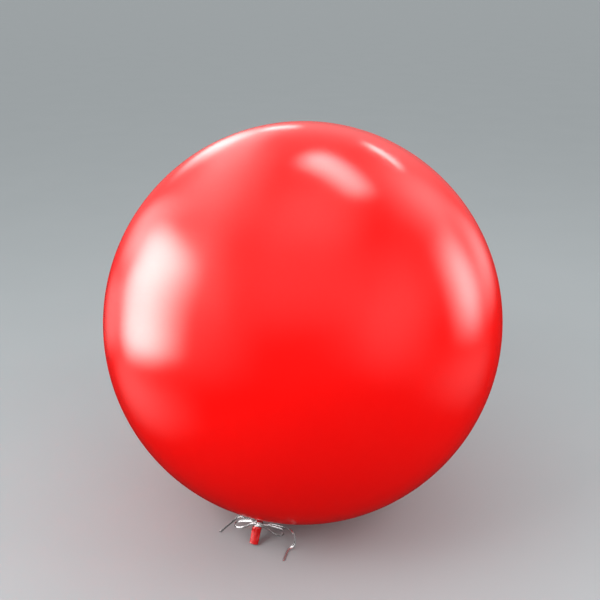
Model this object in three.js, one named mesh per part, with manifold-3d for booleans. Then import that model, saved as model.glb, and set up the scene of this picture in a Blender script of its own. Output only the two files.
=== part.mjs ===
// A giant round latex balloon, filled with air, its neck tied off with flat curling ribbon.
// Millimetres, +Z up. The origin is on the floor, under the middle of the balloon, which rests
// on a small flattened patch of its skin and on the rolled lip of its neck.
import * as THREE from "three";
import { mergeVertices } from "three/addons/utils/BufferGeometryUtils.js";
import Module from "manifold-3d";

// Body of the balloon: nearly a ball, a little longer along the line from crown to neck.
const EQUATOR_RADIUS = 452.5;
const POLE_RADIUS = 457.5;
const SKIN = 1.0;
const FLATTENING = 2.0; // how far the skin gives where it rests on the floor
const NECK_TILT = THREE.MathUtils.degToRad(30.1); // between the neck and straight down
const CROWN = { radius: 24, height: 2.5 }; // the thicker spot opposite the neck

// Round the neck's own line: radii, and distances from the middle of the balloon.
const SHOULDER_RADIUS = 34; // where the body starts to draw in towards the tie
const THROAT = { radius: 9.4, bore: 1.5, start: 465.5 }; // the gathered latex inside the tie
const TIE = { start: 466, turns: 3, ribbonStep: 4.7, thickness: 1.4 };
const NECK = { bulgeRadius: 11.8, endRadius: 10.2, wall: 1.2 };
const BEAD = { radius: 8.9, thickness: 1.7 }; // the rolled lip: ring radius, half its thickness
const FLATNESS = 0.22; // the share by which the tail is flatter from front to back than across
const TAIL_BEND = THREE.MathUtils.degToRad(4); // how far the tail sags back below the tie
const TAIL_SHIFT = -1.5; // the tail's sideways step below the tie
const PLEATS = { count: 8, depth: 0.13 }; // folds round the gathers, and their share of the radius
const TAIL_PLEATS = 0.3; // how much of that depth the pleats keep on the tail
const TAIL_RING_STEP = 3; // between rings of the tail

// Uneven creases down the tail. Each has its degrees round the tail, where 180 faces front, its
// half width in degrees, its depth, and the shares of the tail's length between which it runs.
const CREASES = [
  { at: 20, half: 16, depth: 1.1, from: 0, to: 0.55 },
  { at: 55, half: 18, depth: 1.4, from: 0.1, to: 0.8 },
  { at: 92, half: 15, depth: 1.1, from: 0, to: 0.6 },
  { at: 128, half: 17, depth: 1.7, from: 0, to: 0.85 },
  { at: 164, half: 13, depth: 1.5, from: 0, to: 0.42 },
  { at: 196, half: 20, depth: 0.8, from: 0.2, to: 1 },
  { at: 226, half: 14, depth: 1.2, from: 0, to: 0.5 },
  { at: 258, half: 20, depth: 1.5, from: 0.1, to: 0.9 },
  { at: 300, half: 16, depth: 1.2, from: 0, to: 0.7 },
  { at: 340, half: 20, depth: 1.5, from: 0, to: 0.9 },
];
const CREASE_WAVER = { degrees: 7, turns: 5 }; // how each one wanders sideways along the tail
const GAP = 0.3; // left between neighbours

// Flat curling ribbon, and the knot at the front of the tie.
const RIBBON = { width: 5.0, thickness: 0.8 };
const KNOT = { turnFromFront: -2, along: 472, height: 8.4, depth: 6.0, length: 5.4 };

const AROUND = 48; // sides of the body
const SMALL_AROUND = 32; // sides of the tie and the lip
const RING_STEP = THREE.MathUtils.degToRad(7.5); // between rings of the body
const STEP_LENGTH = 9; // along a ribbon

const tiltSin = Math.sin(NECK_TILT);
const tiltCos = Math.cos(NECK_TILT);
const centreHeight = Math.hypot(EQUATOR_RADIUS * tiltSin, POLE_RADIUS * tiltCos) - FLATTENING;
const tieEnd = TIE.start + TIE.turns * TIE.ribbonStep;
const tieMiddle = (TIE.start + tieEnd) / 2;
const tieRadius = THROAT.radius + GAP + TIE.thickness;
const tailTilt = NECK_TILT - TAIL_BEND;
const lipDepth = (1 - FLATNESS) * Math.sin(tailTilt);
const lipReach = BEAD.radius * lipDepth + BEAD.thickness * Math.hypot(lipDepth, Math.cos(tailTilt));
const beadDistance = tieEnd + (centreHeight - tieEnd * tiltCos - lipReach) / Math.cos(tailTilt);
const neckEnd = beadDistance - BEAD.thickness - GAP;

const latex = new THREE.MeshStandardMaterial({ color: 0xe0141a, roughness: 0.18, metalness: 0 });
const thickLatex = new THREE.MeshStandardMaterial({ color: 0xb40c14, roughness: 0.3, metalness: 0 });
const foil = new THREE.MeshStandardMaterial({ color: 0xc9ccd0, roughness: 0.25, metalness: 0.9 });

const wasm = await Module();
wasm.setup();

const point = (radius, along) => new THREE.Vector2(radius, along);
const rise = THREE.MathUtils.smoothstep; // from 0 to 1 between two limits

// A closed geometry as a solid that can be cut.
function solidOf(geometry) {
  const bare = geometry.clone();
  bare.deleteAttribute("normal");
  bare.deleteAttribute("uv");
  const merged = mergeVertices(bare, 1e-3);
  return new wasm.Manifold(
    new wasm.Mesh({
      numProp: 3,
      vertProperties: merged.attributes.position.array,
      triVerts: new Uint32Array(merged.index.array),
    }),
  );
}

function geometryOf(solid) {
  const mesh = solid.getMesh();
  const geometry = new THREE.BufferGeometry();
  geometry.setAttribute("position", new THREE.BufferAttribute(mesh.vertProperties, 3));
  geometry.setIndex(new THREE.BufferAttribute(mesh.triVerts, 1));
  geometry.computeVertexNormals();
  return geometry;
}

function named(name, geometry, material) {
  const mesh = new THREE.Mesh(geometry, material);
  mesh.name = name;
  return mesh;
}

// Everything turned on the neck's line is made along +Y from the middle of the balloon,
// and this group stands that line where the real neck points. Its -Z is then the front.
function alongNeck() {
  const group = new THREE.Group();
  group.rotation.x = -(Math.PI / 2 + NECK_TILT);
  group.position.z = centreHeight;
  group.updateMatrixWorld(true);
  return group;
}

// The body's outline from crown to shoulder, as points a given depth inside the outer skin.
function bodyOutline(depth) {
  const equator = EQUATOR_RADIUS - depth;
  const pole = POLE_RADIUS - depth;
  const along = (radius) => pole * Math.sqrt(1 - (radius / equator) ** 2);
  const points = [];
  for (const share of [0, 0.4, 0.7, 1]) {
    const radius = share * CROWN.radius;
    const swell = CROWN.height * (1 - share ** 2) ** 2;
    points.push(point(radius, -along(radius) - swell));
  }
  const last = Math.PI / 2 - 1.5 * RING_STEP;
  for (let angle = -last; angle < last + RING_STEP / 2; angle += RING_STEP) {
    points.push(point(equator * Math.cos(angle), pole * Math.sin(angle)));
  }
  points.push(point(SHOULDER_RADIUS - depth, along(SHOULDER_RADIUS - depth)));
  return points;
}

// Draws the turned latex in: pleats round it and flattens it, each by a share that depends on
// the distance along the neck.
function gather(geometry, pleatShare, flatShare) {
  const places = geometry.attributes.position;
  for (let i = 0; i < places.count; i += 1) {
    const x = places.getX(i);
    const z = places.getZ(i);
    const along = places.getY(i);
    const fold = (1 - Math.cos(PLEATS.count * Math.atan2(x, z))) / 2;
    const pleated = 1 - PLEATS.depth * pleatShare(along) * fold;
    places.setX(i, x * pleated);
    places.setZ(i, z * pleated * (1 - FLATNESS * flatShare(along)));
  }
  return geometry;
}

// How deep the tail is drawn in by its creases at a place round it and along it.
function creaseDepth(degrees, along) {
  const share = (along - tieEnd) / (neckEnd - tieEnd);
  const total = CREASES.reduce((sum, { at, half, depth, from, to }) => {
    const waver = CREASE_WAVER.degrees * Math.sin(CREASE_WAVER.turns * share + at);
    const off = THREE.MathUtils.euclideanModulo(degrees - at - waver + 180, 360) - 180;
    const reach = rise(share, from - 0.12, from + 0.05) * (1 - rise(share, to - 0.3, to));
    return sum + depth * reach * Math.exp(-1.6 * (off / half) ** 2);
  }, 0);
  return total * rise(along, tieEnd, tieEnd + 4);
}

function creased(geometry) {
  const places = geometry.attributes.position;
  for (let i = 0; i < places.count; i += 1) {
    const x = places.getX(i);
    const z = places.getZ(i);
    const degrees = THREE.MathUtils.radToDeg(Math.atan2(x, z));
    const kept = 1 - creaseDepth(degrees, places.getY(i)) / Math.max(1, Math.hypot(x, z));
    places.setX(i, x * kept);
    places.setZ(i, z * kept);
  }
  return geometry;
}

// Bends the tail where it leaves the tie.
function sagging(geometry) {
  const places = geometry.attributes.position;
  for (let i = 0; i < places.count; i += 1) {
    const beyond = places.getY(i) - tieEnd;
    const share = rise(beyond, 0, 6);
    const turn = TAIL_BEND * share;
    const z = places.getZ(i);
    if (beyond > 0) {
      places.setX(i, places.getX(i) + TAIL_SHIFT * share);
      places.setY(i, tieEnd + beyond * Math.cos(turn) - z * Math.sin(turn));
      places.setZ(i, beyond * Math.sin(turn) + z * Math.cos(turn));
    }
  }
  return geometry;
}

// The hollow curve in which the body draws in from its shoulder to a given radius.
function shoulder(from, radius, along) {
  const curve = new THREE.QuadraticBezierCurve(from, point(radius, from.y), point(radius, along));
  return curve.getPoints(5).slice(1);
}

// The blown-up film, as one skin with the floor's flat patch and the pinched throat.
function envelope() {
  const stand = alongNeck().matrixWorld;
  const outer = bodyOutline(0);
  const shoulderAt = outer.length - 1;
  outer.push(...shoulder(outer.at(-1), THROAT.radius, THROAT.start));
  outer.push(point(THROAT.radius, tieMiddle - GAP / 2), point(0, tieMiddle - GAP / 2));
  const inner = bodyOutline(SKIN);
  inner.push(...shoulder(inner.at(-1), THROAT.bore, THROAT.start - 4));
  inner.push(point(THROAT.bore, tieMiddle + 5), point(0, tieMiddle + 5));

  const floorBlock = (top) => {
    const size = 4 * POLE_RADIUS;
    const block = new THREE.BoxGeometry(size, size, size);
    return solidOf(block.translate(0, 0, top - size / 2));
  };
  const pleats = (along) => rise(along, outer[shoulderAt].y, THROAT.start - 4) *
    (1 - rise(along, THROAT.start - 4, THROAT.start));
  const turned = (profile) => {
    const body = gather(new THREE.LatheGeometry(profile, AROUND), pleats, () => 0);
    return solidOf(body.applyMatrix4(stand));
  };
  const whole = turned(outer).subtract(floorBlock(0));
  const hollow = turned(inner).subtract(floorBlock(SKIN));
  return named("envelope", geometryOf(whole.subtract(hollow)), latex);
}

// The open tail of the neck beyond the tie: gathered inside it, fuller below, narrower at the lip.
function neck() {
  const bulgeAt = tieEnd + 6;
  const middle = (bulgeAt + neckEnd) / 2;
  const middleRadius = (NECK.bulgeRadius + NECK.endRadius) / 2 + 0.3;
  const start = tieMiddle + GAP / 2;
  const outline = [
    point(THROAT.radius, tieEnd),
    point(NECK.bulgeRadius - 0.5, tieEnd + 2.6),
    point(NECK.bulgeRadius, bulgeAt),
    point(middleRadius, middle),
    point(NECK.endRadius, neckEnd),
  ];
  const radiusAt = (along) => {
    const next = Math.max(1, outline.findIndex(({ y }) => y >= along - 1e-6));
    const [from, to] = [outline[next - 1], outline[next]];
    return from.x + (to.x - from.x) * rise(along, from.y, to.y);
  };
  const rings = Math.round((neckEnd - bulgeAt) / TAIL_RING_STEP);
  const stops = [tieEnd, tieEnd + 1.3, tieEnd + 2.6, tieEnd + 4.3];
  for (let i = 0; i <= rings; i += 1) {
    stops.push(bulgeAt + ((neckEnd - bulgeAt) * i) / rings);
  }
  const profile = [point(THROAT.bore, start), point(THROAT.radius, start)];
  profile.push(...stops.map((along) => point(radiusAt(along), along)));
  const inside = stops.filter((along) => along >= bulgeAt).reverse();
  profile.push(...inside.map((along) => point(radiusAt(along) - NECK.wall, along)));
  profile.push(point(NECK.bulgeRadius / 2, tieEnd + 3));
  profile.push(point(THROAT.bore, tieEnd + 1), point(THROAT.bore, start));

  const pleats = (along) => TAIL_PLEATS * rise(along, tieEnd, bulgeAt) *
    (1 - 0.75 * rise(along, bulgeAt, neckEnd));
  const flat = (along) => rise(along, tieEnd, bulgeAt + 8);
  const tail = creased(new THREE.LatheGeometry(profile, AROUND));
  return named("neck", sagging(gather(tail, pleats, flat)), thickLatex);
}

// The rolled lip round the mouth. It touches the floor.
function lipBead() {
  const profile = [];
  const sides = 12;
  for (let i = 0; i <= sides; i += 1) {
    const angle = (2 * Math.PI * (i % sides + 0.5)) / sides;
    const across = BEAD.radius + BEAD.thickness * Math.cos(angle);
    profile.push(point(across, beadDistance + BEAD.thickness * Math.sin(angle)));
  }
  const ring = gather(new THREE.LatheGeometry(profile, SMALL_AROUND), () => 0, () => 1);
  return named("lip_bead", sagging(ring), thickLatex);
}

// Three turns of ribbon round the throat, each a little crowned.
function tieWraps() {
  const inside = THROAT.radius + GAP;
  const profile = [point(inside, TIE.start)];
  for (let turn = 0; turn < TIE.turns; turn += 1) {
    const start = TIE.start + turn * TIE.ribbonStep;
    profile.push(point(tieRadius - 0.7, start + 0.1 * TIE.ribbonStep));
    profile.push(point(tieRadius, start + 0.35 * TIE.ribbonStep));
    profile.push(point(tieRadius, start + 0.65 * TIE.ribbonStep));
    profile.push(point(tieRadius - 0.7, start + 0.9 * TIE.ribbonStep));
  }
  profile.push(point(inside, tieEnd), point(inside, TIE.start));
  return named("tie_wraps", new THREE.LatheGeometry(profile, SMALL_AROUND), foil);
}

// The knot: a turn of ribbon drawn tight over the crossing, at the front of the tie.
function knot() {
  const half = KNOT.length / 2;
  const profile = [
    point(0, -half),
    point(0.7, -half),
    point(0.95, -half * 0.75),
    point(1, 0),
    point(0.95, half * 0.75),
    point(0.7, half),
    point(0, half),
  ];
  const mesh = named("knot", new THREE.LatheGeometry(profile, 16), foil);
  const turn = THREE.MathUtils.degToRad(KNOT.turnFromFront);
  const reach = tieRadius + GAP + KNOT.depth / 2;
  mesh.scale.set(KNOT.height / 2, 1, KNOT.depth / 2);
  mesh.rotation.z = Math.PI / 2;
  const holder = new THREE.Group();
  holder.add(mesh);
  holder.rotation.y = -turn;
  holder.position.set(reach * Math.sin(turn), KNOT.along, -reach * Math.cos(turn));
  return holder;
}

// The free ribbon's routes on the floor's own axes, from the knot or the tie outwards. Sides
// gives the way that the ribbon's width points, each at its share of the length.
const ACROSS_TIE = [0, 0.5, 0.87];
const UPRIGHT = [0, 0, 1];
const TURNED = [0.1, -0.3, 0.95]; // nearly edge on, as seen from the front
const ROUTES = {
  bow_loop_left: {
    sides: [[0, ACROSS_TIE], [0.25, UPRIGHT], [0.8, UPRIGHT], [1, ACROSS_TIE]],
    points: [[-4.3, -248.0, 52.6], [-9, -245.8, 52.2], [-14.6, -243.8, 51.3],
      [-22.6, -244.8, 50.5], [-33.2, -248.6, 49.5], [-42.8, -253.2, 48], [-47.7, -259.7, 46],
      [-45.6, -265.7, 44.8], [-37.2, -268.2, 44.2], [-27, -264.7, 45], [-17.2, -258.4, 47.5],
      [-9.6, -252.6, 51.6], [-4.4, -250, 53.6]],
  },
  bow_loop_right: {
    sides: [[0, ACROSS_TIE], [0.2, TURNED], [0.8, TURNED], [1, ACROSS_TIE]],
    points: [[2.9, -248.5, 52.7], [7.5, -247.4, 52.4], [12.9, -245.2, 51], [19.4, -241.6, 49],
      [29.8, -236.3, 47], [43.6, -233.2, 45.5], [55, -232.2, 44], [62.6, -234.6, 42],
      [65.2, -240.4, 39.8], [61, -246.4, 38.3], [51, -248.3, 39.2], [37.4, -247, 42.5],
      [24.4, -246.8, 47], [13.9, -249, 51.4], [7.5, -250.4, 53.4], [2.9, -250.5, 53.8]],
  },
  tail_left: {
    sides: [[0, ACROSS_TIE], [0.3, UPRIGHT], [1, UPRIGHT]],
    points: [[-11.5, -237.5, 44.6], [-18.6, -236.4, 45.4], [-27.8, -235.3, 46.4],
      [-40.4, -233.4, 47.2], [-50.2, -233.5, 46], [-57.4, -237.1, 40], [-67.1, -241.8, 29.5],
      [-77.2, -247.4, 18.5], [-86.5, -252.4, 8], [-92.2, -255.6, 2.3]],
  },
  tail_right: {
    sides: [[0, ACROSS_TIE], [0.2, [0, -0.5, 0.86]], [0.35, [-0.2, -0.6, 0.8]],
      [0.5, [-0.7, -0.7, 0.15]], [0.7, [-0.95, 0.1, 0.1]], [1, [-1, -0.1, 0]]],
    points: [[11.5, -237.5, 44.6], [18.6, -234.4, 45], [28, -230, 45.6], [41.8, -227.3, 45.2],
      [55.1, -224.3, 44], [66.4, -220.7, 42], [76.6, -220.2, 37.5], [83.3, -221.9, 30],
      [87.3, -226.1, 19.5], [86.8, -230.6, 11], [82.7, -236.2, 5], [79.1, -244, 2],
      [80.3, -255.6, 0.9], [85, -277.9, 0.8]],
  },
};

// A ribbon's frames: its width stays square to the path and turns steadily from side to side.
function ribbonFrames(path, sides, steps) {
  const frames = { tangents: [], normals: [], binormals: [] };
  for (let i = 0; i <= steps; i += 1) {
    const share = i / steps;
    const next = Math.max(1, sides.findIndex(([at]) => at >= share));
    const [[from, a], [to, b]] = [sides[next - 1], sides[next]];
    const side = new THREE.Vector3(...a).lerp(new THREE.Vector3(...b), (share - from) / (to - from));
    const tangent = path.getTangentAt(share);
    const across = side.addScaledVector(tangent, -side.dot(tangent)).normalize();
    frames.tangents.push(tangent);
    frames.normals.push(across);
    frames.binormals.push(new THREE.Vector3().crossVectors(tangent, across));
  }
  return frames;
}

// A flat ribbon with rounded edges along a route.
function ribbon(name, { sides, points }) {
  const path = new THREE.CatmullRomCurve3(points.map((p) => new THREE.Vector3(...p)), false, "centripetal");
  path.computeFrenetFrames = (steps) => ribbonFrames(path, sides, steps);
  const corners = [[1, 0.4], [0.8, 1], [-0.8, 1], [-1, 0.4], [-1, -0.4], [-0.8, -1], [0.8, -1], [1, -0.4]];
  const section = corners.map(([wide, thick]) =>
    new THREE.Vector2((wide * RIBBON.width) / 2, (thick * RIBBON.thickness) / 2));
  const geometry = new THREE.ExtrudeGeometry(new THREE.Shape(section), {
    steps: Math.ceil(path.getLength() / STEP_LENGTH),
    extrudePath: path,
  });
  return named(name, geometry, foil);
}

const balloon = new THREE.Group();
balloon.add(envelope());

const neckGroup = alongNeck();
neckGroup.add(neck(), lipBead(), tieWraps(), knot());
balloon.add(neckGroup);

for (const [name, route] of Object.entries(ROUTES)) {
  balloon.add(ribbon(name, route));
}

export default balloon;
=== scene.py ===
import math

import bpy
from mathutils import Matrix, Vector, noise


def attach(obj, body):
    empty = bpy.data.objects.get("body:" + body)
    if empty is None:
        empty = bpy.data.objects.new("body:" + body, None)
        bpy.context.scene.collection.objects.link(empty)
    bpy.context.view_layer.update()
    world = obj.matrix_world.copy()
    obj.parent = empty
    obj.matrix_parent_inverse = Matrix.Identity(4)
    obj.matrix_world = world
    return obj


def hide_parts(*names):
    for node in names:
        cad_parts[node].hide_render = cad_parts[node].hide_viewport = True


# A giant round latex balloon that rests on the floor, its neck tied with curling ribbon.
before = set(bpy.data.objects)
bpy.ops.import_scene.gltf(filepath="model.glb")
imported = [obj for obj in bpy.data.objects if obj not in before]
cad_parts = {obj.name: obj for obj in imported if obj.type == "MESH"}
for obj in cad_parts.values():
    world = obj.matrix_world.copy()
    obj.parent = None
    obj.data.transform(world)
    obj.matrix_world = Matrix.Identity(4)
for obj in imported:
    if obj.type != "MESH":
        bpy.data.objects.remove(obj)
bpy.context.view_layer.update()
MM = 0.001

# Sizes of the balloon, in metres, as in the solids. "Along" is the distance from the middle of
# the balloon towards its neck.
NECK_TILT = math.radians(30.1)
EQUATOR_RADIUS = 0.4525
POLE_RADIUS = 0.4575
FLATTENING = 0.002
CROWN_RADIUS, CROWN_HEIGHT = 0.024, 0.0025
SHOULDER_RADIUS = 0.034
THROAT_RADIUS, THROAT_START = 0.0094, 0.4655
TIE_START, TIE_END = 0.466, 0.4801
TIE_RADIUS = 0.0111
TAIL_BEND = math.radians(4)
TAIL_SHIFT = -0.0015
NECK_BULGE, NECK_END_RADIUS = 0.0118, 0.0102
BULGE_REACH = 0.006
BULGE_ALONG = TIE_END + BULGE_REACH
BEAD_RADIUS, BEAD_THICKNESS = 0.0089, 0.0017
FLATNESS = 0.22  # the share by which the tail is flatter from front to back than across
PLEAT_COUNT, PLEAT_DEPTH = 8, 0.13
KNOT_ALONG, KNOT_TURN = 0.472, math.radians(-2)
GAP = 0.0003  # left between neighbours

# The ribbon, which is thinner than in the solids.
RIBBON_WIDTH = 0.005
RIBBON_FILM = 0.00022

sin_t, cos_t = math.sin(NECK_TILT), math.cos(NECK_TILT)
CENTRE = Vector((0, 0, math.hypot(EQUATOR_RADIUS * sin_t, POLE_RADIUS * cos_t) - FLATTENING))
SIDE = Vector((1, 0, 0))
NECKWARD = Vector((0, -sin_t, -cos_t))
BACKWARD = Vector((0, cos_t, -sin_t))
tail_tilt = NECK_TILT - TAIL_BEND
lip_depth = (1 - FLATNESS) * math.sin(tail_tilt)
lip_reach = BEAD_RADIUS * lip_depth + BEAD_THICKNESS * math.hypot(lip_depth, math.cos(tail_tilt))
BEAD_ALONG = TIE_END + (CENTRE.z - TIE_END * cos_t - lip_reach) / math.cos(tail_tilt)
NECK_END = BEAD_ALONG - BEAD_THICKNESS - GAP


def rise(x, low, high):
    """From 0 at low to 1 at high, eased at both."""
    t = min(1.0, max(0.0, (x - low) / (high - low)))
    return t * t * (3 - 2 * t)


def eased(table, x):
    """The value at x, from a table of places and values, eased from each row to the next."""
    for (a, low), (b, high) in zip(table, table[1:]):
        if x <= b:
            return low + (high - low) * rise(x, a, b)
    return table[-1][1]


def place(x, along, z):
    """A point given across, along and behind the neck's line."""
    return CENTRE + SIDE * x + NECKWARD * along + BACKWARD * z


# The camera, where the photo's stood: its turn round the balloon, and its tilt from straight down.
AZIMUTH = math.radians(25.35)
TILT_FROM_DOWN = math.radians(90 - 22.591)
EYE = (-0.0062, -1.7048, 1.2178)  # before the turn
LENS, SENSOR = 48.0, 36.0
PICTURE = 600  # side of the square picture, in pixels
FOCAL = PICTURE * LENS / SENSOR

cam_data = bpy.data.cameras.new("view")
cam_data.lens = LENS
cam_data.sensor_width = SENSOR
camera = bpy.data.objects.new("view", cam_data)
bpy.context.scene.collection.objects.link(camera)
camera.location = Matrix.Rotation(AZIMUTH, 3, "Z") @ Vector(EYE)
camera.rotation_euler = (TILT_FROM_DOWN, 0, AZIMUTH)
bpy.context.scene.camera = camera
LOOK = Matrix.Rotation(AZIMUTH, 3, "Z") @ Matrix.Rotation(TILT_FROM_DOWN, 3, "X")


# Helpers for meshes. The two collections say which pieces a light may reach.
LATEX_PIECES = bpy.data.collections.new("latex_pieces")
RIBBON_PIECES = bpy.data.collections.new("ribbon_pieces")


def new_object(name, verts, faces, material, node, slot, uvs=None):
    mesh = bpy.data.meshes.new(name)
    mesh.from_pydata([tuple(v) for v in verts], [], faces)
    mesh.validate()
    if uvs is not None:
        layer = mesh.uv_layers.new(name="UVMap")
        for loop in mesh.loops:
            layer.data[loop.index].uv = uvs[loop.vertex_index]
    mesh.polygons.foreach_set("use_smooth", [True] * len(mesh.polygons))
    mesh.update()
    mesh.materials.append(material)
    obj = bpy.data.objects.new(name, mesh)
    bpy.context.scene.collection.objects.link(obj)
    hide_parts(node)
    (RIBBON_PIECES if slot == "ribbon" else LATEX_PIECES).objects.link(obj)
    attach(obj, "root")
    return obj


def ring_faces(rings, around, closed=False):
    """Quads between rings of corners. Closed joins the last ring to the first."""
    faces = []
    for i in range(rings if closed else rings - 1):
        a, b = i, (i + 1) % rings
        for j in range(around):
            k = (j + 1) % around
            faces.append((a * around + j, a * around + k, b * around + k, b * around + j))
    return faces


def tube_faces(rings, around):
    """The quads of a tube, with a cap on each end."""
    last = (rings - 1) * around
    caps = [tuple(reversed(range(around))), tuple(last + j for j in range(around))]
    return ring_faces(rings, around) + caps


class Nodes:
    """A node tree, with short calls that add its nodes and join them."""

    def __init__(self, tree):
        self.tree = tree

    def add(self, kind, inputs=(), **values):
        node = self.tree.nodes.new("ShaderNode" + kind)
        for key, value in values.items():
            setattr(node, key, value)
        for key, value in dict(inputs).items():
            self.put(node.inputs[key], value)
        return node

    def put(self, socket, value):
        if isinstance(value, bpy.types.NodeSocket):
            self.tree.links.new(value, socket)
        else:
            socket.default_value = value

    def split(self, vector):
        return self.add("SeparateXYZ", inputs={0: vector}).outputs

    def math(self, operation, a, b=0.0, clamp=False):
        node = self.add("Math", operation=operation, use_clamp=clamp)
        for socket, value in zip(node.inputs, (a, b)):
            self.put(socket, value)
        return node.outputs[0]

    def vector(self, operation, a, b=(0, 0, 0), scale=None):
        node = self.add("VectorMath", operation=operation)
        self.put(node.inputs[0], a)
        self.put(node.inputs[1], b)
        if scale is not None:
            self.put(node.inputs["Scale"], scale)
        return node.outputs["Value" if operation == "DOT_PRODUCT" else "Vector"]

    def noise(self, vector, scale, detail=2.0, roughness=0.5):
        node = self.add("TexNoise", inputs={"Vector": vector, "Scale": scale, "Detail": detail,
                                            "Roughness": roughness})
        return node.outputs["Fac"]

    def ramp(self, value, low, high, to_low=0.0, to_high=1.0):
        node = self.add("MapRange", interpolation_type="SMOOTHSTEP",
                        inputs={"Value": value, "From Min": low, "From Max": high,
                                "To Min": to_low, "To Max": to_high})
        return node.outputs["Result"]

    def mix(self, factor, a, b):
        node = self.add("Mix", data_type="RGBA")
        self.put(node.inputs[0], factor)
        for socket, colour in ((node.inputs[6], a), (node.inputs[7], b)):
            self.put(socket, (*colour, 1.0) if isinstance(colour, tuple) else colour)
        return node.outputs[2]

    def bump(self, height, strength, distance, normal=None):
        inputs = {"Height": height, "Strength": strength, "Distance": distance}
        if normal is not None:
            inputs["Normal"] = normal
        return self.add("Bump", inputs=inputs).outputs["Normal"]


class Material(Nodes):
    """A new material, with the nodes that give it its looks."""

    def __init__(self, name):
        self.material = bpy.data.materials.new(name)
        self.material.use_nodes = True
        super().__init__(self.material.node_tree)
        self.object_place = self.add("TexCoord").outputs["Object"]

    def shade(self, values):
        """Sets the shader's own sockets and gives the finished material."""
        shader = self.tree.nodes["Principled BSDF"]
        for key, value in values.items():
            self.put(shader.inputs[key], value)
        return self.material


def latex_material():
    """Stretched film: glossy, a little cloudy, denser towards the neck and at the crown."""
    film_dark, film_light = (0.90, 0.0024, 0.0020), (0.94, 0.0048, 0.0034)
    dense_red = (0.50, 0.0012, 0.0026)
    m = Material("latex_film")
    at = m.object_place
    direction = m.vector("NORMALIZE", m.vector("SUBTRACT", at, tuple(CENTRE)))
    toward_neck = m.vector("DOT_PRODUCT", direction, tuple(NECKWARD))

    # Streaks run from neck to crown: the noise varies round the neck's line, hardly along it.
    along_part = m.vector("SCALE", tuple(NECKWARD), scale=toward_neck)
    across = m.vector("NORMALIZE", m.vector("SUBTRACT", direction, along_part))
    drawn_out = m.vector("SCALE", tuple(NECKWARD), scale=m.math("MULTIPLY", toward_neck, 0.8))
    streak_place = m.vector("ADD", m.vector("SCALE", across, scale=9.0), drawn_out)
    streaks = m.noise(streak_place, 2.2, detail=5.0, roughness=0.6)
    cloud = m.noise(at, 5.0, detail=3.0, roughness=0.55)
    mottle = m.noise(at, 42.0, detail=4.0, roughness=0.6)
    grain = m.noise(at, 700.0, detail=2.0)

    near_neck = m.ramp(toward_neck, 0.965, 0.9995)
    near_crown = m.ramp(toward_neck, -0.9905, -0.9996)
    crown_halo = m.ramp(toward_neck, -0.93, -0.998)
    crown = m.math("MAXIMUM", m.math("MULTIPLY", near_crown, 0.62),
                   m.math("MULTIPLY", crown_halo, 0.3))
    dense = m.math("MAXIMUM", near_neck, crown)

    tone = m.math("ADD", m.math("MULTIPLY", m.math("SUBTRACT", cloud, 0.5), 0.9),
                  m.math("MULTIPLY", m.math("SUBTRACT", streaks, 0.5), 0.5))
    tone = m.math("ADD", tone, 0.5, clamp=True)
    rough = m.math("ADD", 0.145, m.math("MULTIPLY", mottle, 0.03))
    rough = m.math("ADD", rough, m.math("MULTIPLY", grain, 0.02))
    rough = m.math("ADD", rough, m.math("MULTIPLY", dense, 0.05))
    wave = m.bump(m.noise(at, 4.0, detail=1.0), 0.03, 0.02)
    peel = m.bump(m.noise(at, 260.0, detail=2.0), 0.012, 0.0004, wave)
    pull = m.bump(streaks, m.math("MULTIPLY", dense, 0.35), 0.0012, peel)
    return m.shade({"Base Color": m.mix(dense, m.mix(tone, film_dark, film_light), dense_red),
                    "Roughness": rough, "Normal": pull, "IOR": 1.42,
                    "Specular IOR Level": 0.2, "Subsurface Weight": 0.5,
                    "Subsurface Radius": (1.0, 0.08, 0.05), "Subsurface Scale": 0.18})


def tail_latex_material():
    """Unstretched latex of the tail and its lip: dense, deep red, finely wrinkled."""
    deep_red, bright_red = (0.48, 0.0010, 0.0024), (0.84, 0.004, 0.005)
    m = Material("latex_tail")
    at = m.object_place
    along = m.vector("DOT_PRODUCT", m.vector("SUBTRACT", at, tuple(CENTRE)), tuple(NECKWARD))
    squeeze = m.vector("SCALE", tuple(NECKWARD), scale=m.math("MULTIPLY", along, 0.86))
    fibres = m.noise(m.vector("SUBTRACT", at, squeeze), 520.0, detail=3.0, roughness=0.6)
    blotch = m.noise(at, 160.0, detail=3.0)
    tone = m.math("ADD", m.math("MULTIPLY", fibres, 0.5), m.math("MULTIPLY", blotch, 0.5),
                  clamp=True)
    wrinkles = m.noise(m.vector("MULTIPLY", at, (0.4, 0.4, 1.6)), 300.0, detail=2.0)
    return m.shade({"Base Color": m.mix(tone, deep_red, bright_red),
                    "Roughness": m.math("ADD", 0.24, m.math("MULTIPLY", fibres, 0.12)),
                    "Normal": m.bump(fibres, 0.45, 0.0005, m.bump(wrinkles, 0.25, 0.0004)),
                    "IOR": 1.52, "Specular IOR Level": 0.3, "Subsurface Weight": 0.15,
                    "Subsurface Radius": (1.0, 0.1, 0.08), "Subsurface Scale": 0.004,
                    "Coat Weight": 0.22, "Coat Roughness": 0.1})


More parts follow.
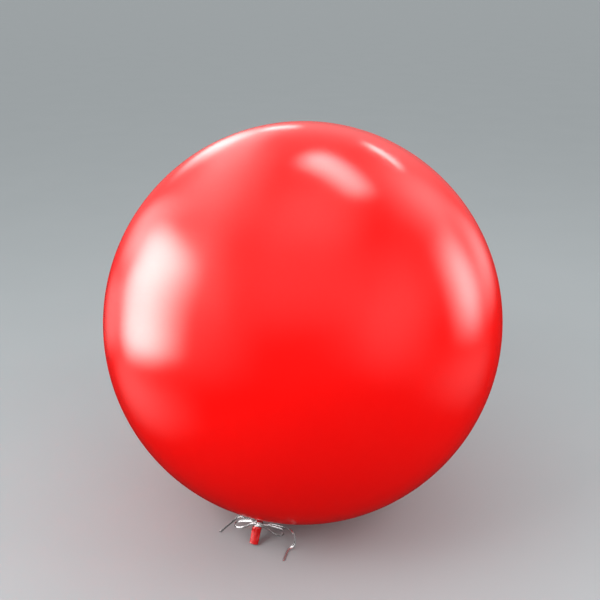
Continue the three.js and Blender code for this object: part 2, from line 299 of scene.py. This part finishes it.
def ribbon_material():
    """Metallised film with fine ribs along it. The map's second coordinate runs across it."""
    dull_grey, silver = (0.36, 0.35, 0.36), (0.95, 0.92, 0.915)
    rib_count = 9
    m = Material("ribbon_film")
    parts = m.split(m.add("TexCoord").outputs["UV"])
    length_at, across_at = parts[0], parts[1]
    rib = m.math("SINE", m.math("MULTIPLY", across_at, 2 * math.pi * rib_count))
    crinkle = m.noise(m.object_place, 210.0, detail=3.0, roughness=0.6)
    streak_place = m.add("CombineXYZ", inputs={0: m.math("MULTIPLY", length_at, 14.0),
                                               1: m.math("MULTIPLY", across_at, 26.0)}).outputs[0]
    streak = m.noise(streak_place, 1.0, detail=3.0, roughness=0.65)
    tone = m.math("ADD", m.math("MULTIPLY", streak, 0.7), m.math("MULTIPLY", crinkle, 0.3),
                  clamp=True)
    return m.shade({"Base Color": m.mix(m.ramp(tone, 0.3, 0.7), dull_grey, silver),
                    "Roughness": m.math("ADD", 0.17, m.math("MULTIPLY", streak, 0.16)),
                    "Normal": m.bump(rib, 0.35, 0.00008, m.bump(crinkle, 0.25, 0.0006)),
                    "Metallic": 0.8, "Coat Weight": 0.3, "Coat Roughness": 0.1})


RIBBON = ribbon_material()
FILM = latex_material()
TAIL = tail_latex_material()

# The free ribbon: two loops and two tails. Each has its line's points in mm, and tables by the
# share of its length: the way its width points, and how far it leans about its line, in degrees.
ACROSS_TIE = (0, 0.5, 0.87)
UPRIGHT = (0, 0, 1)
TURNED = (0.1, -0.3, 0.95)
ROUTES = {
    "bow_loop_left": {
        "far_end": "object",
        "sides": [(0, ACROSS_TIE), (0.25, UPRIGHT), (0.8, UPRIGHT), (1, ACROSS_TIE)],
        "leans": [(0.05, 0), (0.16, 26), (0.36, 32), (0.46, 0), (0.56, 0), (0.62, -28),
                  (0.7, -24), (0.8, 0), (1, 0)],
        "points": [(-4.3, -248.0, 52.6), (-9, -245.8, 52.2), (-14.6, -243.8, 51.3),
                   (-22.6, -244.8, 50.5), (-33.2, -248.6, 49.5), (-42.8, -253.2, 48),
                   (-47.7, -259.7, 46), (-45.6, -265.7, 44.8), (-37.2, -268.2, 44.2),
                   (-27, -264.7, 45), (-17.2, -258.4, 47.5), (-9.6, -252.6, 51.6),
                   (-4.4, -250, 53.6)],
    },
    "bow_loop_right": {
        "far_end": "object",
        "sides": [(0, ACROSS_TIE), (0.2, TURNED), (0.8, TURNED), (1, ACROSS_TIE)],
        "leans": [(0.06, 0), (0.14, -20), (0.36, -36), (0.46, 0), (1, 0)],
        "points": [(2.9, -248.5, 52.7), (7.5, -247.4, 52.4), (12.9, -245.2, 51),
                   (19.4, -241.6, 49), (29.8, -236.3, 47), (43.6, -233.2, 45.5),
                   (55, -232.2, 44), (62.6, -234.6, 42), (65.2, -240.4, 39.8),
                   (61, -246.4, 38.3), (51, -248.3, 39.2), (37.4, -247, 42.5),
                   (24.4, -246.8, 47), (13.9, -249, 51.4), (7.5, -250.4, 53.4),
                   (2.9, -250.5, 53.8)],
    },
    "tail_left": {
        "far_end": "bare",
        "sides": [(0, ACROSS_TIE), (0.3, UPRIGHT), (1, UPRIGHT)],
        "leans": [(0, 0), (0.2, 0), (0.34, 20), (0.42, 26), (0.5, 0), (0.56, -10), (0.9, -8),
                  (1, 0)],
        "points": [(-11.5, -237.5, 44.6), (-18.6, -236.4, 45.4), (-27.8, -235.3, 46.4),
                   (-40.4, -233.4, 47.2), (-50.2, -233.5, 46), (-57.4, -237.1, 40),
                   (-67.1, -241.8, 29.5), (-77.2, -247.4, 18.5), (-86.5, -252.4, 8),
                   (-92.2, -255.6, 2.3)],
    },
    "tail_right": {
        "far_end": "bare",
        "sides": [(0, ACROSS_TIE), (0.2, (0, -0.5, 0.86)), (0.35, (-0.2, -0.6, 0.8)),
                  (0.5, (-0.7, -0.7, 0.15)), (0.7, (-0.95, 0.1, 0.1)), (1, (-1, -0.1, 0))],
        "leans": [(0.02, 0), (0.1, -28), (0.26, -44), (0.34, 0), (0.44, 0), (0.52, -32),
                  (0.66, -36), (0.76, 0), (1, 0)],
        "points": [(11.5, -237.5, 44.6), (18.6, -234.4, 45), (28, -230, 45.6),
                   (41.8, -227.3, 45.2), (55.1, -224.3, 44), (66.4, -220.7, 42),
                   (76.6, -220.2, 37.5), (83.3, -221.9, 30), (87.3, -226.1, 19.5),
                   (86.8, -230.6, 11), (82.7, -236.2, 5), (79.1, -244, 2),
                   (80.3, -255.6, 0.9), (85, -277.9, 0.8)],
    },
}
PATH_STEP = 0.0012  # between the points of a strip's line
PIECES_PER_SPAN = 24  # of the dense curve, between two given points
ACROSS = 8  # faces across the ribbon's width
LOOSE_CUP, TIGHT_CUP = 0.00035, 0.00018  # how far its section bulges
END_SLANT = 0.0016  # how far before and beyond its middle a bare end's two edges lie


def smooth_path(points, step):
    """Even points along a curve through the given ones, its knots spaced by root distance."""
    pts = [Vector(p) * MM for p in points]
    pts = [pts[0] * 2 - pts[1]] + pts + [pts[-1] * 2 - pts[-2]]
    dense = []
    for p0, p1, p2, p3 in zip(pts, pts[1:], pts[2:], pts[3:]):
        t0 = 0.0
        t1 = t0 + math.sqrt((p1 - p0).length)
        t2 = t1 + math.sqrt((p2 - p1).length)
        t3 = t2 + math.sqrt((p3 - p2).length)
        for i in range(PIECES_PER_SPAN):
            t = t1 + (t2 - t1) * i / PIECES_PER_SPAN
            a1 = p0 * ((t1 - t) / (t1 - t0)) + p1 * ((t - t0) / (t1 - t0))
            a2 = p1 * ((t2 - t) / (t2 - t1)) + p2 * ((t - t1) / (t2 - t1))
            a3 = p2 * ((t3 - t) / (t3 - t2)) + p3 * ((t - t2) / (t3 - t2))
            b1 = a1 * ((t2 - t) / (t2 - t0)) + a2 * ((t - t0) / (t2 - t0))
            b2 = a2 * ((t3 - t) / (t3 - t1)) + a3 * ((t - t1) / (t3 - t1))
            dense.append(b1 * ((t2 - t) / (t2 - t1)) + b2 * ((t - t1) / (t2 - t1)))
    dense.append(pts[-2])
    lengths = [0.0]
    for a, b in zip(dense, dense[1:]):
        lengths.append(lengths[-1] + (b - a).length)
    total = lengths[-1]
    count = round(total / step)
    out, i = [], 0
    for k in range(count + 1):
        goal = total * k / count
        while i < len(lengths) - 2 and lengths[i + 1] < goal:
            i += 1
        share = (goal - lengths[i]) / (lengths[i + 1] - lengths[i])
        out.append(dense[i].lerp(dense[i + 1], min(1.0, max(0.0, share))))
    return out, total


def side_at(sides, share):
    """The way the strip's width points, from a table of shares."""
    for (a, va), (b, vb) in zip(sides, sides[1:]):
        if share <= b:
            return Vector(va).lerp(Vector(vb), (share - a) / (b - a))
    return Vector(sides[-1][1])


def ribbon_strip(path, sides, leans, cup, seed, end_slant=0.0):
    """A thin cupped strip's corners, faces and map. The slant is that of its last end."""
    twist, warp = 0.16, 0.00025  # how far it wavers: about its line in radians, at its edges
    verts, uvs = [], []
    last = len(path) - 1
    length = 0.0
    for i, p in enumerate(path):
        share = i / last
        tangent = (path[min(i + 1, last)] - path[max(i - 1, 0)]).normalized()
        side = side_at(sides, share)
        side = (side - tangent * side.dot(tangent)).normalized()
        ease = rise(share, 0.03, 0.2) * (1 - rise(share, 0.8, 0.97))
        waver = twist * ease * noise.noise(Vector((share * 7, seed * 5.3, 2.0)))
        turn = math.radians(eased(leans, share)) + waver
        side = Matrix.Rotation(turn, 3, tangent) @ side
        normal = tangent.cross(side)
        wobble = noise.noise(Vector((share * 9 + seed, seed * 3.1, 0))) * warp
        if i:
            length += (p - path[i - 1]).length
        ring = []
        for k in range(ACROSS + 1):
            u = 2 * k / ACROSS - 1
            slant = end_slant * u if i == last else 0.0
            base = (p + side * (u * RIBBON_WIDTH / 2)
                    + normal * (cup * (1 - u * u) - cup / 2 + wobble * u))
            ring.append(base + tangent * slant)
        verts += [v + normal * (RIBBON_FILM / 2) for v in ring]
        verts += [v - normal * (RIBBON_FILM / 2) for v in reversed(ring)]
        uvs += [(length / RIBBON_WIDTH, k / ACROSS) for k in range(ACROSS + 1)]
        uvs += [(length / RIBBON_WIDTH, 1 - k / ACROSS) for k in range(ACROSS + 1)]
    return verts, tube_faces(len(path), 2 * (ACROSS + 1)), uvs


for number, (name, route) in enumerate(ROUTES.items()):
    path, total = smooth_path(route["points"], PATH_STEP)
    verts, faces, uvs = ribbon_strip(path, route["sides"], route["leans"], LOOSE_CUP,
                                     seed=number * 1.7 + 0.3,
                                     end_slant=END_SLANT if route["far_end"] == "bare" else 0.0)
    strip = new_object(name + "_ribbon", verts, faces, RIBBON, name, "ribbon", uvs)


# The blown-up film.
SKIN_END = 0.4733  # along, hidden under the tie
CROWN_RINGS, BODY_RINGS, SHOULDER_RINGS, THROAT_RINGS = 12, 132, 18, 4
BODY_AROUND = 240
FINE_PLEATS, PUCKERS, FINE_PUCKERS = 23, 17, 29  # counts round the neck's line
PUCKER_DEPTH, PUCKER_REACH = 0.00028, 0.125  # the reach is a radius about that line
PUCKER_FADE = (0.006, 0.03)  # the radii between which they die out towards the tie
THROAT_EASE = 0.55  # the share of their depth that the pleats lose at the throat
FLOOR_CLEARANCE = 0.00002
TOUCH_HEIGHT, TOUCH_KEEP = 0.0006, 0.35  # it settles below this height, and keeps this share


def folds(angle):
    """Pleats round the neck's line: main ones with finer ones between them, 0 on a ridge."""
    main = (1 - math.cos(PLEAT_COUNT * angle)) / 2
    fine = (1 - math.cos(FINE_PLEATS * angle + 1.3 * math.sin(3 * angle + 0.7))) / 2
    return 0.72 * main + 0.28 * fine


def pucker(angle):
    """Uneven fine creases that spread from the tie into the body."""
    return (math.sin(PUCKERS * angle + 0.9 * math.sin(2 * angle + 0.4))
            + 0.6 * math.sin(FINE_PUCKERS * angle + 1.1 * math.sin(3 * angle + 2.0)))


def body_profile():
    """Rings from the crown to the tie: radius, distance along the neck's line."""
    rings = []
    for i in range(1, CROWN_RINGS + 1):
        share = i / CROWN_RINGS
        radius = CROWN_RADIUS * i / CROWN_RINGS
        ball = POLE_RADIUS * math.sqrt(1 - (radius / EQUATOR_RADIUS) ** 2)
        rings.append((radius, -ball - CROWN_HEIGHT * (1 - share ** 2) ** 2))
    start = -math.acos(CROWN_RADIUS / EQUATOR_RADIUS)
    end = math.acos(SHOULDER_RADIUS / EQUATOR_RADIUS)
    for i in range(1, BODY_RINGS + 1):
        angle = start + (end - start) * i / BODY_RINGS
        rings.append((EQUATOR_RADIUS * math.cos(angle), POLE_RADIUS * math.sin(angle)))
    corner = Vector((THROAT_RADIUS, rings[-1][1]))
    first, last = Vector(rings[-1]), Vector((THROAT_RADIUS, THROAT_START))
    for i in range(1, SHOULDER_RINGS + 1):
        t = i / SHOULDER_RINGS
        p = first * (1 - t) ** 2 + corner * (2 * t * (1 - t)) + last * t ** 2
        rings.append((p.x, p.y))
    for i in range(1, THROAT_RINGS + 1):
        rings.append((THROAT_RADIUS,
                      THROAT_START + (SKIN_END - THROAT_START) * i / THROAT_RINGS))
    return rings


def settled(z):
    """A height on the skin, eased flat where it meets the floor."""
    if z >= TOUCH_HEIGHT:
        return z
    return max(FLOOR_CLEARANCE, TOUCH_HEIGHT - (TOUCH_HEIGHT - z) * TOUCH_KEEP)


def envelope_skin():
    rings = body_profile()
    shoulder_along = POLE_RADIUS * math.sqrt(1 - (SHOULDER_RADIUS / EQUATOR_RADIUS) ** 2)
    verts = []
    for radius, along in rings:
        depth = (PLEAT_DEPTH * rise(along, shoulder_along, THROAT_START - 0.003)
                 * (1 - THROAT_EASE * rise(along, THROAT_START - 0.004, THROAT_START)))
        spread = 0.0
        if along > 0:
            spread = rise(radius, PUCKER_REACH, SHOULDER_RADIUS) * rise(radius, *PUCKER_FADE)
        for j in range(BODY_AROUND):
            angle = 2 * math.pi * j / BODY_AROUND
            r = radius * (1 - depth * folds(angle))
            a = along - PUCKER_DEPTH * spread ** 2 * pucker(angle)
            v = place(r * math.sin(angle), a, r * math.cos(angle))
            v.z = settled(v.z)
            verts.append(v)
    faces = ring_faces(len(rings), BODY_AROUND)
    crown = len(verts)
    verts.append(place(0, -POLE_RADIUS - CROWN_HEIGHT, 0))
    faces += [(crown, (j + 1) % BODY_AROUND, j) for j in range(BODY_AROUND)]
    last = (len(rings) - 1) * BODY_AROUND
    faces.append(tuple(last + j for j in range(BODY_AROUND)))
    new_object("envelope_skin", verts, faces, FILM, "envelope", "latex")


envelope_skin()


# The tail and its rolled lip.
TAIL_AROUND, TAIL_STEPS = 160, 44
TAIL_START = 0.4738  # along, hidden under the tie
TAIL_FILM = 0.0005
TAIL_PLEATS = 0.3  # the share of the pleats' depth that they have on the tail
PLEATS_LOST = 0.75  # the share of that which they lose by its end
RIPPLE_HEIGHT, LEAST_RADIUS = 0.00035, 0.0012
TAIL_OUTLINE = [
    # place along, radius on the ridges
    (TIE_END - 0.007, THROAT_RADIUS),
    (TIE_END, THROAT_RADIUS),
    (TIE_END + 0.0026, NECK_BULGE - 0.0005),
    (BULGE_ALONG, NECK_BULGE),
    ((BULGE_ALONG + NECK_END) / 2, (NECK_BULGE + NECK_END_RADIUS) / 2 + 0.0003),
    (NECK_END + 0.001, NECK_END_RADIUS),
]
CREASES = [
    # angle round the neck (180 faces front), half width, depth in mm, first and last share
    (164, 13, 1.5, 0.0, 0.42),
    (128, 17, 1.7, 0.0, 0.85),
    (196, 20, 0.8, 0.2, 1.0),
    (92, 15, 1.1, 0.0, 0.6),
    (226, 14, 1.2, 0.0, 0.5),
    (258, 20, 1.5, 0.1, 0.9),
    (300, 16, 1.2, 0.0, 0.7),
    (340, 20, 1.5, 0.0, 0.9),
    (20, 16, 1.1, 0.0, 0.55),
    (55, 18, 1.4, 0.1, 0.8),
]


def sagged(x, along, z):
    """A point on the tail, which bends and steps aside where it leaves the tie."""
    beyond = along - TIE_END
    if beyond <= 0:
        return place(x, along, z)
    share = rise(beyond, 0, BULGE_REACH)
    turn = TAIL_BEND * share
    return place(x + TAIL_SHIFT * share,
                 TIE_END + beyond * math.cos(turn) - z * math.sin(turn),
                 beyond * math.sin(turn) + z * math.cos(turn))


def creased(angle, share):
    """How deep the tail's skin is drawn in by its creases, which waver and run out along it."""
    depth = 0.0
    for middle, half, deep, first, last in CREASES:
        off = math.degrees(angle) - middle - 7 * math.sin(5 * share + middle)
        off = (off + 180) % 360 - 180
        reach = rise(share, first - 0.12, first + 0.05) * (1 - rise(share, last - 0.3, last))
        depth += deep * MM * reach * math.exp(-(off / half) ** 2 * 1.6)
    return depth


def tail_ring(along, inset):
    """A ring of the tail's skin, a given depth inside its outer side."""
    pleated = (rise(along, TIE_END, BULGE_ALONG)
               * (1 - PLEATS_LOST * rise(along, BULGE_ALONG, NECK_END)))
    share = (along - TIE_END) / (NECK_END - TIE_END)
    flat = rise(along, TIE_END, BULGE_ALONG + 0.008)
    out = []
    for j in range(TAIL_AROUND):
        angle = 2 * math.pi * j / TAIL_AROUND
        r = eased(TAIL_OUTLINE, along)
        r *= 1 - TAIL_PLEATS * PLEAT_DEPTH * pleated * folds(angle)
        r -= creased(angle, share) * rise(along, TIE_END, TIE_END + 0.004)
        ripple = noise.noise(Vector((math.cos(angle) * 2.2, math.sin(angle) * 2.2, along * 160)))
        r += RIPPLE_HEIGHT * ripple * rise(along, TIE_END, BULGE_ALONG)
        r = max(LEAST_RADIUS, r - inset)
        out.append(sagged(r * math.sin(angle), along,
                          r * math.cos(angle) * (1 - FLATNESS * flat)))
    return out


def neck_skin():
    """The tail's outer side, then its inner side back up to where it is gathered shut."""
    end = NECK_END + 0.0008  # it runs into the lip
    shut, open_by = TIE_END + 0.0015, TIE_END + 0.010
    gathered = 0.0095  # how much further in the inner side lies where it is shut
    stops = [TAIL_START + (end - TAIL_START) * i / TAIL_STEPS for i in range(TAIL_STEPS + 1)]
    inner = [along for along in reversed(stops) if along > shut]
    verts = []
    for along in stops:
        verts += tail_ring(along, 0.0)
    for along in inner:
        verts += tail_ring(along, TAIL_FILM + (1 - rise(along, shut, open_by)) * gathered)
    faces = tube_faces(len(stops) + len(inner), TAIL_AROUND)
    new_object("neck_skin", verts, faces, TAIL, "neck", "neck_latex")


def rolled_lip():
    """The rolled edge of the mouth, a ring of uneven thickness."""
    around, sides = 128, 20
    thinning, squashing, wander = 0.12, 0.05, 0.0004
    verts = []
    for j in range(around):
        angle = 2 * math.pi * j / around
        x, y = math.cos(angle), math.sin(angle)
        swell = 1 - thinning * (0.5 + 0.5 * noise.noise(Vector((x * 1.6, y * 1.6, 5.0))))
        shift = wander * noise.noise(Vector((x * 1.3, y * 1.3, 9.0)))
        for k in range(sides):
            turn = 2 * math.pi * k / sides
            roll = 1 - squashing * (0.5 + 0.5 * math.cos(2 * turn + 3 * angle))
            reach = BEAD_THICKNESS * swell * roll
            r = BEAD_RADIUS + reach * math.cos(turn)
            along = BEAD_ALONG + reach * math.sin(turn) - abs(shift)
            verts.append(sagged(r * y, along, r * x * (1 - FLATNESS)))
    new_object("rolled_lip", verts, ring_faces(around, sides, closed=True), TAIL, "lip_bead",
               "neck_latex")


neck_skin()
rolled_lip()


def wraps():
    """Turns wound round the throat, each over the edge of the one before."""
    turns, steps, margin = 3.35, 260, 0.0026
    stand_off, overlap, build_up, sway = 0.0007, 0.00035, 0.0004, 0.0006
    path = []
    for i in range(steps + 1):
        share = i / steps
        turn = 2 * math.pi * turns * share + math.pi
        lean = sway * math.sin(turn * 0.5 + 0.6)
        along = TIE_START + margin + (TIE_END - TIE_START - 2 * margin) * share + lean * 0.4
        radius = (THROAT_RADIUS + stand_off + overlap * (1 + math.sin(turn + share * 5)) * 0.5
                  + build_up * share)
        path.append(place(radius * math.sin(turn), along, radius * math.cos(turn)))
    verts, faces, uvs = ribbon_strip(path, [(0, NECKWARD)], [(0, 0)], TIGHT_CUP, seed=4.2)
    new_object("wound_ribbon", verts, faces, RIBBON, "tie_wraps", "ribbon", uvs)


def knot():
    """A turn of ribbon drawn tight round the crossing, gathered narrow at its front."""
    half_height, half_depth, half_length = 0.0041, 0.0029, 0.0027
    coarse_crease, fine_crease, edge_drop = 0.00016, 0.0001, 0.34
    reach = TIE_RADIUS + GAP + 0.003
    middle = place(reach * math.sin(KNOT_TURN), KNOT_ALONG, -reach * math.cos(KNOT_TURN))
    outward = SIDE * math.sin(KNOT_TURN) - BACKWARD * math.cos(KNOT_TURN)
    sideways = SIDE * math.cos(KNOT_TURN) + BACKWARD * math.sin(KNOT_TURN)
    around, across = 64, 24
    verts, uvs = [], []
    for j in range(around):
        turn = 2 * math.pi * j / around
        gather = 0.82 + 0.18 * math.cos(turn) ** 2
        for k in range(across + 1):
            u = 2 * k / across - 1
            crease = (coarse_crease * math.sin(u * 9 + 2.5 * math.sin(turn))
                      + fine_crease * math.sin(u * 17 + turn))
            edge = 1 - edge_drop * abs(u) ** 5
            tall = half_height * edge + crease
            deep = half_depth * edge + crease
            verts.append(middle + sideways * (u * half_length * gather)
                         + NECKWARD * (tall * math.sin(turn)) + outward * (deep * math.cos(turn)))
            uvs.append((turn, k / across))
    row = across + 1
    faces = []
    for j in range(around):
        n = (j + 1) % around
        for k in range(across):
            faces.append((j * row + k, n * row + k, n * row + k + 1, j * row + k + 1))
    faces.append(tuple(reversed([j * row for j in range(around)])))
    faces.append(tuple(j * row + across for j in range(around)))
    new_object("cinched_knot", verts, faces, RIBBON, "knot", "ribbon", uvs)


wraps()
knot()


def floor():
    half, z = 60, -0.0004
    dark, light_grey = (0.365, 0.395, 0.405), (0.385, 0.415, 0.425)
    mesh = bpy.data.meshes.new("floor")
    mesh.from_pydata([(-half, -half, z), (half, -half, z), (half, half, z), (-half, half, z)],
                     [], [(0, 1, 2, 3)])
    obj = bpy.data.objects.new("floor", mesh)
    bpy.context.scene.collection.objects.link(obj)
    m = Material("pale_floor")
    tone = m.noise(m.object_place, 3.0, detail=3.0)
    mesh.materials.append(m.shade({"Base Color": m.mix(tone, dark, light_grey),
                                   "Roughness": 0.8, "Specular IOR Level": 0.15}))
    obj.visible_glossy = False  # so the balloon mirrors the world's dark ground instead


floor()


# The lights. Panels are seen only in the latex's gloss, each placed by where its reflection lies
# in the picture. Softboxes light what is dull, and glints are seen only in the ribbon's gloss.
MIRROR_RADIUS = EQUATOR_RADIUS + 0.001  # of the ball that the panels are placed by
NARROWEST_PANEL = 0.02
SOFTBOX_FEATHER = (0.1, 0.1)
WHITE, WARM, WARM_HAZE = (1, 1, 1), (1, 0.97, 0.95), (1, 0.98, 0.97)
PINK, PINK_HAZE = (1, 0.97, 0.97), (1, 0.98, 0.98)
PANELS = [
    # name, start and end of its reflection, width across, distance, radiance, colour, feather
    ("left_window", (178, 183), (130, 412), 86, 1.2, 34.0, WARM, (0.24, 0.5)),
    ("window_top", (172, 212), (142, 304), 84, 1.8, 7.5, WARM, (0.4, 0.5)),
    ("right_window", (436, 198), (487, 370), 44, 1.6, 15.5, (1, 0.96, 0.96), (0.45, 0.5)),
    ("right_wall", (470, 196), (488, 335), 44, 2.0, 2.2, PINK, (0.4, 0.5)),
    ("top_panel", (297, 148), (378, 200), 37, 2.4, 23.0, (1, 0.96, 0.97), (0.28, 0.5)),
    ("thin_streak", (359, 140), (411, 174), 3, 3.0, 19.0, WHITE, (0.35, 0.3)),
    ("top_streak", (256, 131), (306, 127), 3, 3.0, 5.0, WHITE, (0.3, 0.3)),
    ("rim_panel", (176, 166), (258, 130), 38, 3.0, 3.6, WARM_HAZE, (0.35, 0.5)),
    ("rim_haze", (178, 172), (290, 130), 44, 3.0, 2.0, WARM_HAZE, (0.4, 0.5)),
    ("upper_left_wall", (122, 250), (312, 150), 175, 3.0, 5.6, WARM_HAZE, (0.5, 0.5)),
    ("left_edge_top", (176, 184), (132, 262), 50, 3.0, 3.8, (1, 0.99, 0.98), (0.4, 0.5)),
    ("left_edge_wall", (121, 232), (110, 390), 26, 0.8, 1.2, WHITE, (0.35, 0.5)),
    ("left_low_haze", (134, 338), (170, 452), 170, 1.6, 1.7, WARM_HAZE, (0.5, 0.5)),
    ("right_low_haze", (468, 322), (444, 424), 110, 1.6, 1.0, PINK_HAZE, (0.5, 0.5)),
    ("left_haze", (212, 190), (190, 450), 170, 3.0, 2.4, WARM_HAZE, (0.5, 0.5)),
    ("window_spill", (204, 206), (182, 320), 90, 3.0, 4.0, WARM_HAZE, (0.5, 0.5)),
    ("right_haze", (385, 200), (400, 430), 140, 3.0, 2.9, PINK_HAZE, (0.5, 0.5)),
    ("front_wall", (285, 135), (315, 385), 340, 3.0, 2.3, PINK_HAZE, (0.4, 0.4)),
    ("ceiling_wall", (292, 146), (330, 268), 340, 3.0, 2.6, PINK_HAZE, (0.5, 0.5)),
    ("upper_right_wall", (398, 154), (442, 255), 120, 3.0, 3.6, PINK_HAZE, (0.5, 0.5)),
]
SOFTBOXES = [
    # name, direction in the camera's frame (right, up, back), distance, size, radiance
    ("key", (-0.68, 0.34, 0.62), 2.6, (1.5, 1.5), 8.0),
    ("fill", (0.5, -0.05, 1.0), 3.0, (2.2, 1.8), 1.8),
    ("side", (0.8, 0.4, 0.4), 2.8, (2.2, 2.2), 2.6),
]
GLINTS = [
    ("ribbon_front", (-0.3, -0.13, 1.0), 2.4, (2.8, 1.6), 1.9),
    ("ribbon_left", (-0.8, 0.05, 0.62), 2.4, (1.6, 1.4), 5.0),
]


def mirrored(px, py):
    """The balloon's point at a place in the picture, and the way a look is thrown from there."""
    ray = (LOOK @ Vector(((px - PICTURE / 2) / FOCAL, (PICTURE / 2 - py) / FOCAL, -1))).normalized()
    to_eye = camera.location - CENTRE
    along = ray.dot(to_eye)
    reach = max(0.0, along * along - to_eye.dot(to_eye) + MIRROR_RADIUS ** 2)
    point = camera.location + ray * (-along - math.sqrt(reach))
    normal = (point - CENTRE).normalized()
    return point, ray - normal * (2 * ray.dot(normal))


def panel_place(px, py, distance):
    point, way = mirrored(px, py)
    return point + way * distance


def light(name, where, turn, size, radiance, colour, feather):
    """A soft-edged area light. Feather is the share of each side over which it fades."""
    data = bpy.data.lights.new(name, "AREA")
    data.shape = "RECTANGLE"
    data.size, data.size_y = size
    data.energy = radiance * math.pi * size[0] * size[1]
    data.color = colour
    data.use_nodes = True
    n = Nodes(data.node_tree)
    sides = n.split(n.add("NewGeometry").outputs["Parametric"])
    fades = [n.ramp(n.math("PINGPONG", side, 0.5), 0.0, share)
             for side, share in zip(sides, feather)]
    n.put(n.tree.nodes["Emission"].inputs["Strength"], n.math("MULTIPLY", *fades))
    obj = bpy.data.objects.new(name, data)
    bpy.context.scene.collection.objects.link(obj)
    obj.matrix_world = Matrix.Translation(where) @ turn.to_4x4()
    obj.visible_camera = False
    return obj


def soft_panel(name, start, end, width, distance, radiance, colour, feather):
    """A soft panel whose reflection runs from start to end in the picture, width across."""
    middle = ((start[0] + end[0]) / 2, (start[1] + end[1]) / 2)
    run = Vector((end[0] - start[0], end[1] - start[1]))
    across = Vector((-run.y, run.x)).normalized() * (width / 2)
    point, way = mirrored(*middle)
    long_way = panel_place(*end, distance) - panel_place(*start, distance)
    wide_way = (panel_place(middle[0] + across.x, middle[1] + across.y, distance)
                - panel_place(middle[0] - across.x, middle[1] - across.y, distance))
    z = way.normalized()
    x = (long_way - z * long_way.dot(z)).normalized()
    y = z.cross(x)
    size = (long_way.length, max(NARROWEST_PANEL, abs(wide_way.dot(y))))
    panel = light(name, point + way * distance, Matrix((x, y, z)).transposed(), size, radiance,
                  colour, feather)
    panel.visible_diffuse = False
    panel.light_linking.receiver_collection = LATEX_PIECES


def softbox(name, way, distance, size, radiance):
    """A broad soft light, in a direction of the camera's frame from the balloon's middle."""
    way = (LOOK @ Vector(way)).normalized()
    box = light(name, CENTRE + way * distance, way.to_track_quat("Z", "Y").to_matrix(), size,
                radiance, WHITE, SOFTBOX_FEATHER)
    box.visible_glossy = False
    return box


for panel in PANELS:
    soft_panel(*panel)
for box in SOFTBOXES:
    softbox(*box)
for box in GLINTS:
    glint = softbox(*box)
    glint.visible_glossy = True
    glint.visible_diffuse = False
    glint.light_linking.receiver_collection = RIBBON_PIECES

# A pale room round it all, as light as the far floor at the horizon, with a dark ground that
# shows only in reflections. It is lightest beyond the balloon at the upper left.
HORIZON, GROUND, SKY_DIM, SKY = 0.31, 0.025, 0.55, 1.0
SKY_FROM, GROUND_FROM = 0.4, -0.3  # heights of the direction at which each is reached
DIM_AT, LIGHT_AT = -1.0, 0.35  # how far the direction agrees with the lightest one
ROOM_COLOUR = (0.98, 0.99, 1.0, 1)
world = bpy.data.worlds.new("pale_room")
bpy.context.scene.world = world
world.use_nodes = True
room = Nodes(world.node_tree)
way = room.add("TexCoord").outputs["Generated"]
height = room.split(way)["Z"]
lightest = (LOOK @ Vector((-0.35, 0.35, -0.85))).normalized()
sky = room.ramp(room.vector("DOT_PRODUCT", way, lightest), DIM_AT, LIGHT_AT, SKY_DIM, SKY)
ground = room.ramp(height, GROUND_FROM, 0.0, GROUND, HORIZON)
background = room.tree.nodes["Background"]
room.put(background.inputs["Strength"], room.ramp(height, 0.0, SKY_FROM, ground, sky))
room.put(background.inputs["Color"], ROOM_COLOUR)
bpy.context.scene.view_settings.view_transform = "Standard"
bpy.context.scene.view_settings.look = "None"
